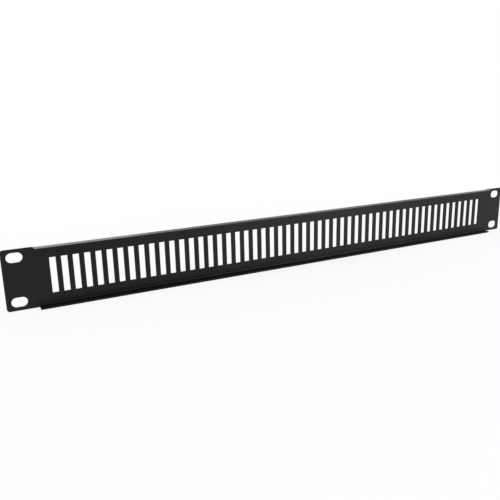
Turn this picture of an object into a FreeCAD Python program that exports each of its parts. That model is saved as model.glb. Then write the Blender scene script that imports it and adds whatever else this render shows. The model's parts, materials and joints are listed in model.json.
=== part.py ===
import FreeCAD, Part
import math
import os
import Sketcher

# Slotted 1U rack blanking panel. It is one sheet of steel, punched flat, then folded once
# along its top and once along its bottom into a shallow channel with an ear at each end.
#
# Frame: X runs along the panel, Y points into the rack and +Z is up. The origin is the
# centre of the four screw slots, in the plane where the ears seat on the rack's rails, so
# the sheet's back face is at Y = 0 and its front face is one thickness in front of that.

NODE = "blanking_panel"


# ---------------------------------------------------------------- driving sizes

# alias, size in millimetres, what it measures
SIZES = [
    ("panel_width", "482.6", "ear end to ear end"),
    ("panel_height", "43.66", "one rack unit less its clearance"),
    ("panel_depth", "8.3", "front face to the free edges of the flanges"),
    ("sheet_thickness", "1.2", "steel sheet"),
    ("bend_inside_radius", "0.8", "inside of both folds"),
    ("ear_width", "21.3", "end of the panel to the end of the flanges"),
    ("ear_corner_radius", "2", "outer corners of the ears"),
    ("relief_width", "0.05", "sheared slit that parts each flange's end from its ear"),
    ("relief_past_bend", "0.4", "how far the slit runs past the fold, into the web"),
    ("screw_inset", "8.75", "end of the panel to the centre of a screw slot"),
    ("screw_spacing_up", "31.75", "centre to centre of one ear's two screw slots"),
    ("screw_slot_length", "11", "end to end, along the panel"),
    ("screw_slot_height", "7.2", "flat to flat, up the panel"),
    ("vent_pitch", "8", "centre to centre of neighbouring vents"),
    ("vent_width", "4.6", "one vent, along the panel"),
    ("vent_height", "26", "one vent, up the panel"),
    ("vent_end_margin", "9", "least plain web past the outermost vents"),
]

doc = FreeCAD.newDocument("rack_blanking_panel")

sheet = doc.addObject("Spreadsheet::Sheet", "sizes")
for row, (alias, millimetres, meaning) in enumerate(SIZES, start=1):
    sheet.set(f"A{row}", meaning)
    sheet.set(f"B{row}", millimetres)
    sheet.setAlias(f"B{row}", alias)
doc.recompute()


class Size:
    """A number to draw at, with the expression of the sheet's cells that it is bound to."""

    def __init__(self, number, expression):
        self.number = number
        self.expression = expression

    def __neg__(self):
        return Size(-self.number, f"-({self.expression})")

    def __add__(self, other):
        return Size(self.number + other.number, f"{self.expression} + {other.expression}")

    def __sub__(self, other):
        return Size(self.number - other.number, f"{self.expression} - ({other.expression})")

    def __mul__(self, other):
        return Size(self.number * other.number, f"({self.expression}) * ({other.expression})")

    def __truediv__(self, divisor):
        return Size(self.number / divisor, f"({self.expression}) / {divisor}")


def size(alias):
    """The size that one cell of the sheet holds."""
    return Size(getattr(sheet, alias), f"sizes.{alias}")


# Places that several features share.
THICKNESS = size("sheet_thickness")
BEND_INSIDE = size("bend_inside_radius")
HALF_WIDTH = size("panel_width") / 2
HALF_HEIGHT = size("panel_height") / 2
FLANGE_END = HALF_WIDTH - size("ear_width")
FOLD_START = HALF_HEIGHT - THICKNESS - BEND_INSIDE


# ---------------------------------------------------------------- body and sketch helpers

body = doc.addObject("PartDesign::Body", NODE)
body.Label = NODE


def origin_item(role):
    """One of the body's own origin planes or axes."""
    return next(item for item in body.Origin.OriginFeatures if item.Role == role)


def new_sketch(name, role):
    """An empty sketch on one of the origin planes."""
    sketch = body.newObject("Sketcher::SketchObject", name)
    sketch.AttachmentSupport = (origin_item(role), [""])
    sketch.MapMode = "FlatFace"
    return sketch


def add_line(sketch, start, end):
    segment = Part.LineSegment(FreeCAD.Vector(*start, 0), FreeCAD.Vector(*end, 0))
    return sketch.addGeometry(segment, False)


def add_arc(sketch, centre, radius, from_angle, to_angle):
    circle = Part.Circle(FreeCAD.Vector(*centre, 0), FreeCAD.Vector(0, 0, 1), radius)
    return sketch.addGeometry(Part.ArcOfCircle(circle, from_angle, to_angle), False)


def relate(sketch, kind, *picks):
    sketch.addConstraint(Sketcher.Constraint(kind, *picks))


def dimension(sketch, kind, *picks, to):
    """A driving dimension, bound to the sheet."""
    index = sketch.addConstraint(Sketcher.Constraint(kind, *picks, to.number))
    sketch.setExpression(f"Constraints[{index}]", to.expression)


def place_point(sketch, item, end, x, y):
    """Hold a point at x, y from the sketch's origin."""
    dimension(sketch, "DistanceX", -1, 1, item, end, to=x)
    dimension(sketch, "DistanceY", -1, 1, item, end, to=y)


def draw_outline(sketch, corners):
    """Straight lines through corners, closed, with each corner held at its own x and y."""
    points = [(x.number, y.number) for x, y in corners]
    for start, end in zip(points, points[1:] + points[:1]):
        add_line(sketch, start, end)
    for line, (x, y) in enumerate(corners):
        relate(sketch, "Coincident", line, 2, (line + 1) % len(corners), 1)
        place_point(sketch, line, 1, x, y)


def cut_through(name, sketch):
    """A pocket through the sheet on both sides of the sketch's plane."""
    pocket = body.newObject("PartDesign::Pocket", name)
    pocket.Profile = sketch
    pocket.Type = "ThroughAll"
    pocket.SideType = "Symmetric"
    doc.recompute()
    return pocket


# ---------------------------------------------------------------- flat sheet and ears

def make_blank():
    """The flat sheet over the whole front of the panel, with the ears' corners rounded."""
    sketch = new_sketch("blank_outline", "XZ_Plane")
    draw_outline(sketch, [
        (-HALF_WIDTH, -HALF_HEIGHT),
        (HALF_WIDTH, -HALF_HEIGHT),
        (HALF_WIDTH, HALF_HEIGHT),
        (-HALF_WIDTH, HALF_HEIGHT),
    ])

    blank = body.newObject("PartDesign::Pad", "blank")
    blank.Profile = sketch
    blank.setExpression("Length", THICKNESS.expression)
    doc.recompute()

    corners = body.newObject("PartDesign::Fillet", "ear_corners")
    corners.Base = (blank, [
        f"Edge{number}"
        for number, edge in enumerate(blank.Shape.Edges, start=1)
        if abs(edge.tangentAt(edge.FirstParameter).y) > 0.5
    ])
    corners.setExpression("Radius", "sizes.ear_corner_radius")
    doc.recompute()


# ---------------------------------------------------------------- folds and flanges

def make_fold_notch():
    """The strip that the top fold takes up, with a relief slit down beside each ear."""
    slit_side = FLANGE_END + size("relief_width")
    slit_foot = FOLD_START - size("relief_past_bend")
    sketch = new_sketch("fold_notch_outline", "XZ_Plane")
    draw_outline(sketch, [
        (-slit_side, HALF_HEIGHT),
        (-slit_side, slit_foot),
        (-FLANGE_END, slit_foot),
        (-FLANGE_END, FOLD_START),
        (FLANGE_END, FOLD_START),
        (FLANGE_END, slit_foot),
        (slit_side, slit_foot),
        (slit_side, HALF_HEIGHT),
    ])
    return cut_through("fold_notch", sketch)


def make_flange():
    """The top fold and its flange, drawn in section and run from ear to ear."""
    thickness = THICKNESS.number
    inside_radius = BEND_INSIDE.number
    fold_start = FOLD_START.number
    free_edge = (size("panel_depth") - THICKNESS).number
    outside = HALF_HEIGHT.number
    inside = outside - thickness
    bend_centre = (inside_radius, fold_start)

    sketch = new_sketch("flange_section", "YZ_Plane")
    outer_face = add_line(sketch, (inside_radius, outside), (free_edge, outside))
    edge_face = add_line(sketch, (free_edge, outside), (free_edge, inside))
    inner_face = add_line(sketch, (free_edge, inside), (inside_radius, inside))
    inner_bend = add_arc(sketch, bend_centre, inside_radius, math.pi / 2, math.pi)
    web_joint = add_line(sketch, (0, fold_start), (-thickness, fold_start))
    outer_bend = add_arc(sketch, bend_centre, inside_radius + thickness, math.pi / 2, math.pi)

    relate(sketch, "Coincident", outer_face, 2, edge_face, 1)
    relate(sketch, "Coincident", edge_face, 2, inner_face, 1)
    relate(sketch, "Tangent", inner_face, 2, inner_bend, 1)
    relate(sketch, "Coincident", inner_bend, 2, web_joint, 1)
    relate(sketch, "Coincident", web_joint, 2, outer_bend, 2)
    relate(sketch, "Tangent", outer_bend, 1, outer_face, 1)
    relate(sketch, "Coincident", inner_bend, 3, outer_bend, 3)
    relate(sketch, "Horizontal", outer_face)
    relate(sketch, "Vertical", edge_face)
    relate(sketch, "Horizontal", inner_face)
    relate(sketch, "Horizontal", web_joint)
    relate(sketch, "Horizontal", inner_bend, 3, inner_bend, 2)
    relate(sketch, "PointOnObject", inner_bend, 2, -2)
    dimension(sketch, "DistanceX", web_joint, 2, web_joint, 1, to=THICKNESS)
    dimension(sketch, "DistanceX", web_joint, 2, outer_face, 2, to=size("panel_depth"))
    dimension(sketch, "DistanceY", -1, 1, outer_face, 2, to=HALF_HEIGHT)
    dimension(sketch, "Radius", inner_bend, to=BEND_INSIDE)

    flange = body.newObject("PartDesign::Pad", "flange")
    flange.Profile = sketch
    flange.SideType = "Symmetric"
    flange.setExpression("Length", f"2 * ({FLANGE_END.expression})")
    doc.recompute()
    return flange


def make_folds():
    """The top fold, and the same fold mirrored along the bottom."""
    notch = make_fold_notch()
    flange = make_flange()
    both_folds = body.newObject("PartDesign::Mirrored", "both_folds")
    both_folds.Originals = [notch, flange]
    both_folds.MirrorPlane = (origin_item("XY_Plane"), [""])
    body.Tip = both_folds
    doc.recompute()


# ---------------------------------------------------------------- vents

def make_vents():
    """A row of upright slots, as many as the web has room for, centred on the panel."""
    half_vent = size("vent_width") / 2
    half_up = size("vent_height") / 2
    pitch = size("vent_pitch")
    reach = FLANGE_END - size("vent_end_margin") - half_vent
    gaps = Size(
        2 * reach.number // pitch.number,
        f"floor(2 * ({reach.expression}) / {pitch.expression})",
    )
    first = -(pitch * gaps) / 2
    sketch = new_sketch("vent_outline", "XZ_Plane")
    draw_outline(sketch, [
        (first - half_vent, -half_up),
        (first + half_vent, -half_up),
        (first + half_vent, half_up),
        (first - half_vent, half_up),
    ])
    vent = cut_through("vent", sketch)

    vents = body.newObject("PartDesign::LinearPattern", "vents")
    vents.Originals = [vent]
    vents.Direction = (origin_item("X_Axis"), [""])
    vents.Mode = "Spacing"
    vents.setExpression("Offset", pitch.expression)
    vents.setExpression("Occurrences", f"{gaps.expression} + 1")
    body.Tip = vents
    doc.recompute()


# ---------------------------------------------------------------- screw slots

def make_screw_slots():
    """One obround slot in an ear, mirrored across the panel and up it."""
    end_radius = size("screw_slot_height") / 2
    straight = size("screw_slot_length") - size("screw_slot_height")
    outer_centre = size("screw_inset") - HALF_WIDTH - straight / 2
    slot_z = -size("screw_spacing_up") / 2

    radius, z = end_radius.number, slot_z.number
    left = outer_centre.number
    right = left + straight.number
    sketch = new_sketch("screw_slot_outline", "XZ_Plane")
    left_end = add_arc(sketch, (left, z), radius, math.pi / 2, 3 * math.pi / 2)
    lower_flat = add_line(sketch, (left, z - radius), (right, z - radius))
    right_end = add_arc(sketch, (right, z), radius, -math.pi / 2, math.pi / 2)
    upper_flat = add_line(sketch, (right, z + radius), (left, z + radius))

    relate(sketch, "Tangent", left_end, 2, lower_flat, 1)
    relate(sketch, "Tangent", lower_flat, 2, right_end, 1)
    relate(sketch, "Tangent", right_end, 2, upper_flat, 1)
    relate(sketch, "Tangent", upper_flat, 2, left_end, 1)
    relate(sketch, "Horizontal", lower_flat)
    place_point(sketch, left_end, 3, outer_centre, slot_z)
    dimension(sketch, "DistanceX", left_end, 3, right_end, 3, to=straight)
    dimension(sketch, "Radius", left_end, to=end_radius)
    screw_slot = cut_through("screw_slot", sketch)

    across = body.newObject("PartDesign::Mirrored", "screw_slots_across")
    across.MirrorPlane = (origin_item("YZ_Plane"), [""])
    upward = body.newObject("PartDesign::Mirrored", "screw_slots_up")
    upward.MirrorPlane = (origin_item("XY_Plane"), [""])
    screw_slots = body.newObject("PartDesign::MultiTransform", "screw_slots")
    screw_slots.Originals = [screw_slot]
    screw_slots.Transformations = [across, upward]
    body.Tip = screw_slots
    doc.recompute()


# ---------------------------------------------------------------- checks and files

def check():
    """Stop if a feature failed or did nothing, or the panel isn't one sound, even solid."""
    for item in doc.Objects:
        if {"Invalid", "Error"} & set(item.State):
            raise RuntimeError(f"{item.Name} failed: {item.State}")

    solid = body.Shape
    if solid.isNull() or not solid.isValid() or len(solid.Solids) != 1:
        raise RuntimeError("the panel is not one sound solid")

    centre = solid.Solids[0].CenterOfMass
    if max(abs(centre.x), abs(centre.z)) > 1e-6:
        raise RuntimeError("a fold, vent or screw slot is missing on one side")

    steps = ("blank", "ear_corners", "fold_notch", "flange", "both_folds", "vent", "vents",
             "screw_slot", "screw_slots")
    volumes = [doc.getObject(step).Shape.Volume for step in steps]
    for step, before, after in zip(steps[1:], volumes, volumes[1:]):
        if math.isclose(before, after, rel_tol=1e-9):
            raise RuntimeError(f"{step} changed nothing")


make_blank()
make_folds()
make_vents()
make_screw_slots()
check()

os.makedirs("parts", exist_ok=True)
body.Shape.exportStep(f"parts/{body.Label}.step")
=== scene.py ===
import json
import math

import bmesh
import bpy
from mathutils import Matrix, Vector


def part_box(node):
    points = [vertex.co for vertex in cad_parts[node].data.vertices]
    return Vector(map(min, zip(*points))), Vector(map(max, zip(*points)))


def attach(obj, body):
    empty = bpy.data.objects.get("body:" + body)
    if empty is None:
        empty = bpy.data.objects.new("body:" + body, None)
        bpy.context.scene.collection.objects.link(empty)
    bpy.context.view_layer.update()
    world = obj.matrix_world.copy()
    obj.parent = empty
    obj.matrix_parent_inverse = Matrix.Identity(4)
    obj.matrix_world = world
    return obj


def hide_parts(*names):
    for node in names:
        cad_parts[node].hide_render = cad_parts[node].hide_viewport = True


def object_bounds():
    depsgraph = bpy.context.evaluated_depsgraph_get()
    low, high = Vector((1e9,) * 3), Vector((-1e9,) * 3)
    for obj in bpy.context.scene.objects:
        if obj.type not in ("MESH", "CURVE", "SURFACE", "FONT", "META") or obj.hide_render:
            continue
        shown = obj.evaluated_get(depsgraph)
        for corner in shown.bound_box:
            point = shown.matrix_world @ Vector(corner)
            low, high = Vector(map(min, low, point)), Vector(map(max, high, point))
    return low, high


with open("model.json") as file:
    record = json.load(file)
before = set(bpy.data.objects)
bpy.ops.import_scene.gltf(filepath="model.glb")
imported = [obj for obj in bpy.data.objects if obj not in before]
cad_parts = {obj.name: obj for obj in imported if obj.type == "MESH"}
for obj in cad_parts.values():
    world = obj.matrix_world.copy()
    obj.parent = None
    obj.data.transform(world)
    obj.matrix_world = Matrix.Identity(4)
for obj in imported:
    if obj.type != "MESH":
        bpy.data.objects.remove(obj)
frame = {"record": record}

cad_low, cad_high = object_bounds()
scene = bpy.context.scene
scene.view_settings.view_transform = "Standard"


# ---------------------------------------------------------------- camera
# The panel is seen from the rack's side, at arm's length: a little above it and out past its
# left end, so that the channel between its flanges shows from end to end.

camera_place = Vector((0.26289, 0.40731, 0.11559))
camera_aim = Vector((0.05285, -0.0006, -0.00396))
camera_roll = math.radians(1.32)

camera_data = bpy.data.cameras.new("camera")
camera_data.sensor_width = 36.0
camera_data.lens = 41.46
camera_data.clip_start = 0.01
camera = bpy.data.objects.new("camera", camera_data)
scene.collection.objects.link(camera)
camera.matrix_world = (
    Matrix.Translation(camera_place)
    @ (camera_aim - camera_place).to_track_quat("-Z", "Y").to_matrix().to_4x4()
    @ Matrix.Rotation(-camera_roll, 4, "Z")
)
scene.camera = camera


# ---------------------------------------------------------------- studio
# A white room with a sweep of paper that the panel stands on. A low softbox across from the
# camera gives the web its gloss, and one in front lights the top of the upper flange.

room_light = 0.85
white = (1.0, 1.0, 1.0, 1.0)
paper_white = (0.97, 0.97, 0.97, 1.0)
shadow_reach = (0.65, 0.4)
shadow_depth = 0.18
floor_reach = 20.0


def add(kind, feeds=(), **settings):
    """Add a node to the tree in hand, set it up, and feed its inputs, given by place or name."""
    made = tree.nodes.new(kind)
    for name, setting in settings.items():
        setattr(made, name, setting)
    for name, source in dict(feeds).items():
        if isinstance(source, bpy.types.NodeSocket):
            tree.links.new(source, made.inputs[name])
        else:
            made.inputs[name].default_value = source
    return made


def reckon(operation, *sources):
    """A Math node's result."""
    return add("ShaderNodeMath", enumerate(sources), operation=operation).outputs[0]


def to_the_eye():
    """1 for what is seen, straight or in gloss or glass, and 0 for the light on things."""
    path = add("ShaderNodeLightPath").outputs
    return reckon("MAXIMUM", path["Is Camera Ray"], reckon(
        "MAXIMUM", path["Is Glossy Ray"], path["Is Transmission Ray"]))


world = bpy.data.worlds.new("studio_room")
world.use_nodes = True
scene.world = world
tree = world.node_tree
tree.nodes.clear()
room = add("ShaderNodeBackground", {"Color": white, "Strength": room_light})
backdrop = add("ShaderNodeBackground", {"Color": white, "Strength": 1.0})
shown = add("ShaderNodeMixShader", {0: to_the_eye(), 1: room.outputs[0], 2: backdrop.outputs[0]})
add("ShaderNodeOutputWorld", {"Surface": shown.outputs[0]})

# The paper looks plain white, but for a soft patch under the panel that takes its shadow.
paper = bpy.data.materials.new("white_paper_sweep")
paper.use_nodes = True
tree = paper.node_tree
tree.nodes.clear()
lit_paper = add("ShaderNodeBsdfDiffuse", {"Color": paper_white})
white_paper = add("ShaderNodeEmission", {"Color": white, "Strength": 1.0})
from_panel = add("ShaderNodeMapping", {
    "Vector": add("ShaderNodeTexCoord").outputs["Object"],
    "Scale": (1 / shadow_reach[0], 1 / shadow_reach[1], 1.0),
})
patch = add("ShaderNodeTexGradient", {"Vector": from_panel.outputs[0]},
            gradient_type="SPHERICAL")
whiteness = reckon("MULTIPLY_ADD", patch.outputs["Fac"], -shadow_depth, 1.0)
shown = add("ShaderNodeMixShader", {
    0: reckon("MULTIPLY", to_the_eye(), whiteness),
    1: lit_paper.outputs[0],
    2: white_paper.outputs[0],
})
add("ShaderNodeOutputMaterial", {"Surface": shown.outputs[0]})

floor_mesh = bpy.data.meshes.new("floor")
floor_mesh.from_pydata(
    [(x, y, cad_low[2]) for x, y in (
        (-floor_reach, -floor_reach), (floor_reach, -floor_reach),
        (floor_reach, floor_reach), (-floor_reach, floor_reach),
    )],
    [],
    [(0, 1, 2, 3)],
)
floor_mesh.materials.append(paper)
floor = bpy.data.objects.new("floor", floor_mesh)
scene.collection.objects.link(floor)


def softbox(name, place, aim, size, power, tint):
    """A rectangular soft light that faces a point, and isn't seen itself."""
    light = bpy.data.lights.new(name, "AREA")
    light.shape = "RECTANGLE"
    light.size, light.size_y = size
    light.energy = power
    light.color = tint
    lamp = bpy.data.objects.new(name, light)
    lamp.location = place
    lamp.rotation_euler = (Vector(aim) - Vector(place)).to_track_quat("-Z", "Y").to_euler()
    lamp.visible_camera = False
    scene.collection.objects.link(lamp)


softbox("low_side_softbox", place=(-0.6, 0.93, 0.06), aim=(0, 0, 0),
        size=(0.3, 0.25), power=3.8, tint=(0.88, 0.84, 1.0))
softbox("front_softbox", place=(0.1, -1.1, 0.5), aim=(0.1, 0, 0),
        size=(0.6, 0.3), power=1.3, tint=(0.97, 0.97, 1.0))


# ---------------------------------------------------------------- panel: the flat blank
# One strip of steel sheet, punched flat before it is folded: the row of upright vents, the
# obround screw slots in the ears, and a slit beside each ear that frees the flange's end.

node_low, node_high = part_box("blanking_panel")
bolts = next(mount["dims"] for mount in frame["record"]["mounts"]
             if mount["kind"] == "bolt_pattern")
mm_in_a_metre = 1000

half_width = node_high.x
half_height = node_high.z
sheet_thickness = -node_low.y
fold_inside_radius = 0.0008
fold_steps = 8
ear_width = 0.0213
ear_corner_radius = 0.002
flange_end = half_width - ear_width
slit_width = 0.00005
slit_past_fold = 0.0004
arc_steps = 24

# Powder builds up on the cut edges, so each opening ends a little under its punched size.
powder_build = 0.00012
vents = 53
vent_pitch = 0.008
punched_width = 0.0046
punched_height = 0.026
vent_width = punched_width - 2 * powder_build
vent_height = punched_height - 2 * powder_build
slot_x = bolts["spacing_x_mm"] / mm_in_a_metre / 2
slot_z = bolts["spacing_y_mm"] / mm_in_a_metre / 2
slot_radius = bolts["hole_r_mm"] / mm_in_a_metre - powder_build
slot_straight = (bolts["slot_length_mm"] - 2 * bolts["hole_r_mm"]) / mm_in_a_metre

# Heights at which the blank is divided: the vents' ends, the slits' feet, and the folds' turns.
fold_start = half_height - sheet_thickness - fold_inside_radius
fold_length = (fold_inside_radius + sheet_thickness / 2) * math.pi / 2
slit_foot = fold_start - slit_past_fold
fold_rows = [fold_start + fold_length * step / fold_steps for step in range(fold_steps + 1)]
flange_row = fold_rows[-1] + node_high.y - fold_inside_radius
past_fold = fold_rows[-1] + slit_past_fold
half_rows = [vent_height / 2, slit_foot, *fold_rows, past_fold, flange_row]
rows = [-row for row in reversed(half_rows)] + half_rows

weld_distance = 1e-6
blank = bmesh.new()
around_one_vent = blank.faces.layers.bool.new("around_one_vent")
corners = {}


def corner(x, z):
    """The blank's vertex at a place, made the first time that it is asked for."""
    key = (round(x / weld_distance), round(z / weld_distance))
    if key not in corners:
        corners[key] = blank.verts.new((x, -sheet_thickness, z))
    return corners[key]


def plate(*places):
    """One flat face through places, facing into the rack."""
    face = blank.faces.new([corner(x, z) for x, z in places])
    face.normal_update()
    if face.normal.y < 0:
        face.normal_flip()
    return face


def column(left, right, heights, open_above=None):
    """Faces one above another between two sides, less the one over open_above."""
    return [
        plate((left, below), (right, below), (right, above), (left, above))
        for below, above in zip(heights, heights[1:])
        if below != open_above
    ]


# The strip around the first vent, which the pattern repeats.
first_vent = -vent_pitch * (vents - 1) / 2
vent_sides = (first_vent - vent_width / 2, first_vent + vent_width / 2)
strip_sides = (first_vent - vent_pitch / 2, first_vent + vent_pitch / 2)
for face in (
    column(strip_sides[0], vent_sides[0], rows)
    + column(*vent_sides, rows, open_above=-vent_height / 2)
    + column(vent_sides[1], strip_sides[1], rows)
):
    face[around_one_vent] = True


def obround(centre_z):
    """Places round a screw slot, anticlockwise from the foot of its outer end."""
    return [
        (
            slot_x + side * slot_straight / 2 + side * slot_radius * math.sin(turn),
            centre_z - side * slot_radius * math.cos(turn),
        )
        for side in (1, -1)
        for turn in (math.pi * step / arc_steps for step in range(arc_steps + 1))
    ]


# The plain web past the outermost vents, and an ear, at each end.
web_rows = [row for row in rows if abs(row) < fold_start - slit_past_fold / 2]
ear_inside = flange_end + slit_width
land_right = half_width - ear_corner_radius
land_left = 2 * slot_x - land_right
land_high = half_height - ear_corner_radius
land_low = 2 * slot_z - land_high

# The four faces round a slot meet at its edge, half way round each quarter turn of its ends.
slot_quarters = [
    end_start + arc_steps * eighths // 4
    for end_start in (0, arc_steps + 1)
    for eighths in (1, 3)
]


def ear_quarter(end, up):
    """The land round one screw slot, with the ear's rounded corner and its share of the web."""
    def at(x, z):
        return end * x, up * z

    plate(
        at(ear_inside, vent_height / 2), at(land_left, land_low), at(land_left, land_high),
        at(ear_inside, fold_start), at(ear_inside, slit_foot),
    )
    plate(
        at(ear_inside, fold_start), at(land_left, land_high),
        at(land_left, half_height), at(ear_inside, half_height),
    )
    plate(
        at(land_left, land_high), at(land_right, land_high),
        at(land_right, half_height), at(land_left, half_height),
    )
    rounded_corner = [
        at(
            land_right + ear_corner_radius * math.cos(turn),
            land_high + ear_corner_radius * math.sin(turn),
        )
        for turn in (math.pi * step / arc_steps for step in range(arc_steps // 2 + 1))
    ]
    plate(at(land_right, land_high), at(land_right, land_low), at(half_width, land_low),
          *rounded_corner)
    slot_edge = obround(slot_z)
    land = [(land_right, land_low), (land_right, land_high), (land_left, land_high),
            (land_left, land_low)]
    for quarter, first in enumerate(slot_quarters):
        following = (quarter + 1) % len(slot_quarters)
        last = slot_quarters[following]
        if last < first:
            last += len(slot_edge)
        run = [slot_edge[place % len(slot_edge)] for place in range(last, first - 1, -1)]
        plate(*(at(x, z) for x, z in [land[quarter], land[following]] + run))


for end in (1, -1):
    column(end * -strip_sides[0], end * flange_end, rows)
    column(end * flange_end, end * ear_inside, web_rows)
    for left, right in ((land_left, land_right), (land_right, half_width)):
        column(end * left, end * right, (-land_low, land_low))
    plate(
        (end * ear_inside, -vent_height / 2), (end * land_left, -land_low),
        (end * land_left, land_low), (end * ear_inside, vent_height / 2),
    )
    for up in (1, -1):
        ear_quarter(end, up)

blank_mesh = bpy.data.meshes.new("punched_blank")
blank.to_mesh(blank_mesh)
blank.free()


# ---------------------------------------------------------------- panel: pattern and folds
# The vents are punched one pitch after another along the strip. A press brake then folds the
# top and bottom edges back into the two flanges, and every cut edge is left slightly soft.

cut_edge_angle = math.radians(60)
hair = 0.00001

punch_and_fold = bpy.data.node_groups.new("punch_and_fold", "GeometryNodeTree")
punch_and_fold.is_modifier = True
tree = punch_and_fold


def socket(name, kind, way="INPUT"):
    tree.interface.new_socket(name, in_out=way, socket_type=kind)


def both(first, second, operation="AND"):
    """A Boolean Math node's result."""
    feeds = {0: first, 1: second}
    return add("FunctionNodeBooleanMath", feeds, operation=operation).outputs[0]


def above(value, limit):
    """Whether a number is above a limit."""
    feeds = {0: value, 1: limit}
    return add("FunctionNodeCompare", feeds, data_type="FLOAT").outputs[0]


socket("Blank", "NodeSocketGeometry")
socket("Vents", "NodeSocketInt")
for name in ("Vent Pitch", "Sheet Thickness", "Fold Start", "Fold Inside Radius",
             "Flange End", "Slit Width"):
    socket(name, "NodeSocketFloat")
socket("Coat", "NodeSocketMaterial")
socket("Panel", "NodeSocketGeometry", "OUTPUT")
given = tree.nodes.new("NodeGroupInput").outputs

# The punch: the strip around one vent, again and again, between the two ends.
strip_faces = add("GeometryNodeInputNamedAttribute", {"Name": "around_one_vent"},
                  data_type="BOOLEAN")
parted = add("GeometryNodeSeparateGeometry",
             {"Geometry": given["Blank"], "Selection": strip_faces.outputs["Attribute"]},
             domain="FACE")
step = add("ShaderNodeCombineXYZ", {"X": given["Vent Pitch"]})
vent_places = add("GeometryNodeMeshLine", {"Count": given["Vents"], "Offset": step.outputs[0]},
                  mode="OFFSET")
row_of_strips = add("GeometryNodeInstanceOnPoints",
                    {"Points": vent_places.outputs[0], "Instance": parted.outputs["Selection"]})
whole = add("GeometryNodeJoinGeometry")
tree.links.new(row_of_strips.outputs[0], whole.inputs[0])
tree.links.new(parted.outputs["Inverted"], whole.inputs[0])
plain = add("GeometryNodeRealizeInstances", {"Geometry": whole.outputs[0]})
front = add("GeometryNodeMergeByDistance",
            {"Geometry": plain.outputs[0], "Distance": weld_distance})

# The sheet's thickness, from its front face back to the rails' plane.
depth = add("ShaderNodeCombineXYZ", {"Y": given["Sheet Thickness"]})
back_and_edges = add("GeometryNodeExtrudeMesh",
                     {"Mesh": front.outputs[0], "Offset": depth.outputs[0],
                      "Offset Scale": 1.0, "Individual": False})
outward_front = add("GeometryNodeFlipFaces", {"Mesh": front.outputs[0]})
all_sides = add("GeometryNodeJoinGeometry")
tree.links.new(back_and_edges.outputs["Mesh"], all_sides.inputs[0])
tree.links.new(outward_front.outputs[0], all_sides.inputs[0])
sheet = add("GeometryNodeMergeByDistance",
            {"Geometry": all_sides.outputs[0], "Distance": weld_distance})

# The fold: past its start, the sheet turns about a line behind it, then runs straight back.
place = add("ShaderNodeSeparateXYZ", {0: add("GeometryNodeInputPosition").outputs[0]}).outputs
height = reckon("ABSOLUTE", place["Z"])
along = reckon("ABSOLUTE", place["X"])
past = reckon("SUBTRACT", height, given["Fold Start"])
middle_radius = reckon("MULTIPLY_ADD", given["Sheet Thickness"], 0.5,
                       given["Fold Inside Radius"])
turn = reckon("MINIMUM", reckon("DIVIDE", past, middle_radius), math.pi / 2)
straight = reckon("MAXIMUM", 0.0, reckon(
    "SUBTRACT", past, reckon("MULTIPLY", middle_radius, math.pi / 2)))
radius = reckon("SUBTRACT", given["Fold Inside Radius"], place["Y"])
folded_y = reckon("ADD", straight, reckon(
    "SUBTRACT", given["Fold Inside Radius"], reckon("MULTIPLY", radius, reckon("COSINE", turn))))
folded_height = reckon("ADD", given["Fold Start"], reckon(
    "MULTIPLY", radius, reckon("SINE", turn)))
folded_z = reckon("MULTIPLY", folded_height, reckon("SIGN", place["Z"]))
on_an_ear = above(along, reckon("MULTIPLY_ADD", given["Slit Width"], 0.5, given["Flange End"]))
folds = both(above(past, 0.0), on_an_ear, "NIMPLY")
folded_place = add("ShaderNodeCombineXYZ", {"X": place["X"], "Y": folded_y, "Z": folded_z})
folded = add("GeometryNodeSetPosition",
             {"Geometry": sheet.outputs[0], "Selection": folds,
              "Position": folded_place.outputs[0]})

# Every cut edge is to be softened, but for those at the foot of a slit, a hair below the fold.
sharp = above(add("GeometryNodeInputMeshEdgeAngle").outputs["Unsigned Angle"], cut_edge_angle)
beside_slit = both(
    above(along, reckon("SUBTRACT", given["Flange End"], given["Slit Width"])),
    above(along, reckon("MULTIPLY_ADD", given["Slit Width"], 2.0, given["Flange End"])),
    "NIMPLY")
at_slit_foot = both(beside_slit, above(-hair, past))
cut_edges = both(sharp, at_slit_foot, "NIMPLY")
marked = add("GeometryNodeStoreNamedAttribute",
             {"Geometry": folded.outputs[0], "Selection": cut_edges,
              "Name": "bevel_weight_edge", "Value": 1.0},
             data_type="FLOAT", domain="EDGE")
smooth = add("GeometryNodeSetShadeSmooth", {"Geometry": marked.outputs[0]})
creased = add("GeometryNodeSetShadeSmooth",
              {"Geometry": smooth.outputs[0], "Selection": both(sharp, at_slit_foot),
               "Shade Smooth": False},
              domain="EDGE")

realized = add("GeometryNodeRealizeInstances", {"Geometry": creased.outputs[0]})
coated = add("GeometryNodeSetMaterial",
             {"Geometry": realized.outputs[0], "Material": given["Coat"]})
finished = tree.nodes.new("NodeGroupOutput")
tree.links.new(coated.outputs[0], finished.inputs["Panel"])


# ---------------------------------------------------------------- panel: powder coat
# Satin black powder, sprayed dry and baked over the folded sheet. It flows out to one thin
# skin with a fine orange peel, a fainter grain, and a gloss that is a little cloudy.

peel_size, peel_depth = 0.0018, 0.00006
grain_size, grain_depth = 0.0006, 0.00005
cloud_size = 0.04
satin_roughness = (0.31, 0.39)
coat_thin = (0.0075, 0.0073, 0.0087, 1.0)
coat_thick = (0.0028, 0.00275, 0.00345, 1.0)
coat_gloss = 0.2
grain_shine = 0.04

coat = bpy.data.materials.new("satin_black_powder_coat")
coat.use_nodes = True
tree = coat.node_tree
satin = tree.nodes["Principled BSDF"].inputs
satin["Specular IOR Level"].default_value = coat_gloss
on_the_sheet = add("ShaderNodeTexCoord").outputs["Object"]


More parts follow.
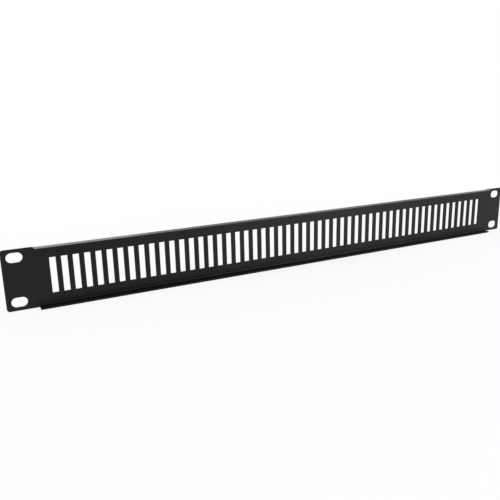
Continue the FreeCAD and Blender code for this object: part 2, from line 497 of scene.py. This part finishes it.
def ripple(size, detail):
    """Noise whose features have a size in metres."""
    feeds = {"Vector": on_the_sheet, "Scale": 1 / size, "Detail": detail, "Roughness": 0.55}
    return add("ShaderNodeTexNoise", feeds).outputs[0]


def stretch(noise, low, high):
    """The middle of a noise's range, spread between two values."""
    feeds = {"Value": noise, "From Min": 0.3, "From Max": 0.7, "To Min": low, "To Max": high}
    return add("ShaderNodeMapRange", feeds).outputs[0]


cloud = ripple(cloud_size, detail=4.0)
peel = ripple(peel_size, detail=1.0)
grain = ripple(grain_size, detail=2.0)

# The skin's tone and gloss drift from place to place, and its high grains are a touch brighter.
thinness = reckon("ADD", stretch(cloud, 0.0, 0.5), stretch(grain, 0.0, 0.5))
black = add("ShaderNodeMix", {0: thinness, 6: coat_thick, 7: coat_thin}, data_type="RGBA")
tree.links.new(black.outputs[2], satin["Base Color"])
dullness = reckon("ADD", stretch(cloud, *satin_roughness),
                  stretch(grain, grain_shine, -grain_shine))
tree.links.new(dullness, satin["Roughness"])

# The orange peel, with the grain over it.
waves = add("ShaderNodeBump", {"Height": peel, "Distance": peel_depth})
skin = add("ShaderNodeBump", {"Height": grain, "Distance": grain_depth,
                              "Normal": waves.outputs[0]})
tree.links.new(skin.outputs[0], satin["Normal"])


# ---------------------------------------------------------------- panel: one folded piece
# The strip is punched, folded and coated in that order, and is a single piece of steel with
# nothing fixed to it. Four screws through the slots hold its ears to the rack's rails.

edge_softness = 0.00012

# The coat takes the blank's first material slot, so that the finished piece has no empty one.
blank_mesh.materials.append(coat)
folding = bpy.data.objects.new("folding", blank_mesh)
scene.collection.objects.link(folding)
punch = folding.modifiers.new("punch_and_fold", "NODES")
punch.node_group = punch_and_fold
sizes = {
    "Vents": vents,
    "Vent Pitch": vent_pitch,
    "Sheet Thickness": sheet_thickness,
    "Fold Start": fold_start,
    "Fold Inside Radius": fold_inside_radius,
    "Flange End": flange_end,
    "Slit Width": slit_width,
    "Coat": coat,
}
for item in punch_and_fold.interface.items_tree:
    if item.in_out == "INPUT" and item.name in sizes:
        punch[item.identifier] = sizes[item.name]
softened = folding.modifiers.new("softened_edges", "BEVEL")
softened.limit_method = "WEIGHT"
softened.width = edge_softness
softened.segments = 2
softened.use_clamp_overlap = False
softened.harden_normals = True

graph = bpy.context.evaluated_depsgraph_get()
panel_mesh = bpy.data.meshes.new_from_object(folding.evaluated_get(graph), depsgraph=graph)
bpy.data.objects.remove(folding)
panel = bpy.data.objects.new("slotted_blanking_panel", panel_mesh)
scene.collection.objects.link(panel)
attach(panel, "root")
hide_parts("blanking_panel")
